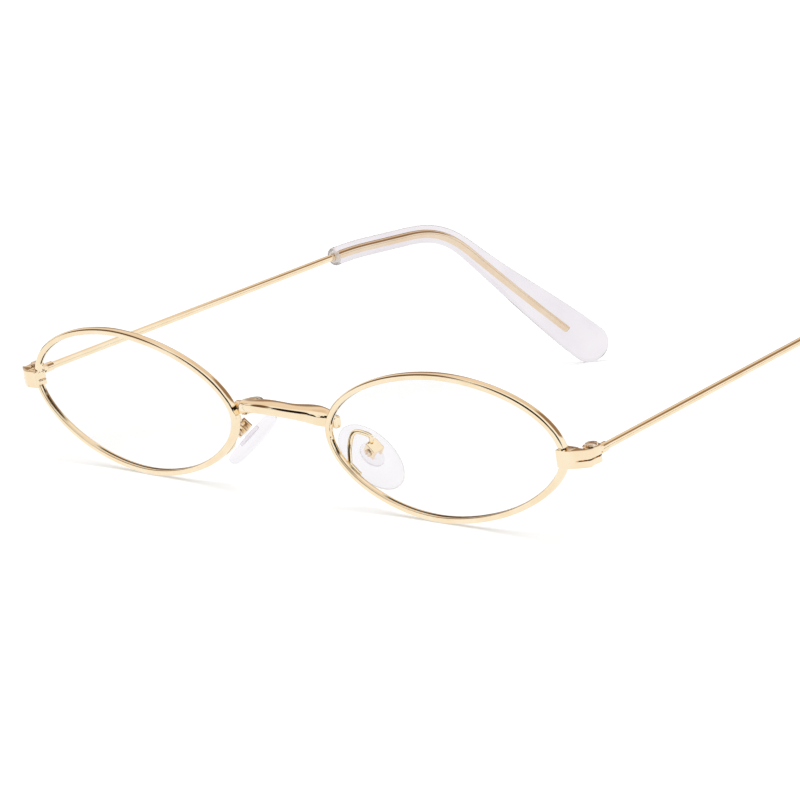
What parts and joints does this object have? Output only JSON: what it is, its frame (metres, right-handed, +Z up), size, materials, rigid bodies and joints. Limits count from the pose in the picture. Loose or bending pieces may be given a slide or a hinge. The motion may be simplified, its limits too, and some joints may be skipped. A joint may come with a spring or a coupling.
{
  "type": "oval wire eyeglasses",
  "caption": "Slim oval eyeglasses of polished gold wire with clear lenses, folding temples in clear sleeved ear tips and rocking clear nose pads.",
  "frame": {"origin": "on the table under the middle of the open eyeglasses: centre of the bounding box's bottom", "axes": "+X to the wearer's left, +Y from the lenses back to the ear tips, +Z up from the table that rims and tips stand on"},
  "size_m": [0.1358, 0.1482, 0.0314],
  "materials": {
    "polished_gold": "polished pale gold plate",
    "screw_steel": "plain machined",
    "clear_lens": "clear, polished",
    "clear_tip": "clear with a faint lilac cast",
    "clear_pad": "clear silicone",
    "pad_core": "clear moulded"
  },
  "bodies": {
    "front": {"bridge": "polished_gold", "left_rim": "polished_gold", "right_rim": "polished_gold", "left_lens": "clear_lens", "right_lens": "clear_lens", "left_upper_rim_lock": "polished_gold", "right_upper_rim_lock": "polished_gold", "left_lower_rim_lock": "polished_gold", "right_lower_rim_lock": "polished_gold", "left_rim_lock_screw": "screw_steel", "right_rim_lock_screw": "screw_steel", "left_end_piece": "polished_gold", "right_end_piece": "polished_gold", "left_front_hinge": "polished_gold", "right_front_hinge": "polished_gold", "left_hinge_screw": "screw_steel", "right_hinge_screw": "screw_steel", "left_pad_box": "polished_gold", "right_pad_box": "polished_gold", "left_pad_screw": "screw_steel", "right_pad_screw": "screw_steel", "left_pad_arm": "polished_gold", "right_pad_arm": "polished_gold"},
    "left_temple": {"left_temple_hinge": "polished_gold", "left_temple_wire": "polished_gold", "left_temple_tip": "clear_tip"},
    "right_temple": {"right_temple_hinge": "polished_gold", "right_temple_wire": "polished_gold", "right_temple_tip": "clear_tip"},
    "left_pad": {"left_pad_core": "pad_core", "left_nose_pad": "clear_pad"},
    "right_pad": {"right_pad_core": "pad_core", "right_nose_pad": "clear_pad"}
  },
  "joints": [
    {"name": "left_temple_fold", "type": "hinge", "parent": "front", "child": "left_temple", "pos_m": [0.06643, -0.06498, 0.01402], "axis": [0, -0.1728, 0.985], "range_deg": [0, 84]},
    {"name": "right_temple_fold", "type": "hinge", "parent": "front", "child": "right_temple", "pos_m": [-0.06643, -0.06498, 0.01402], "axis": [0, 0.1728, -0.985], "range_deg": [0, 76]},
    {"name": "left_pad_rock", "type": "hinge", "parent": "front", "child": "left_pad", "pos_m": [0.01579, -0.06312, 0.0096], "axis": [0.1726, 0.9132, 0.3691], "range_deg": [-8, 8]},
    {"name": "right_pad_rock", "type": "hinge", "parent": "front", "child": "right_pad", "pos_m": [-0.01579, -0.06312, 0.0096], "axis": [0.1726, -0.9132, -0.3691], "range_deg": [-8, 8]}
  ]
}
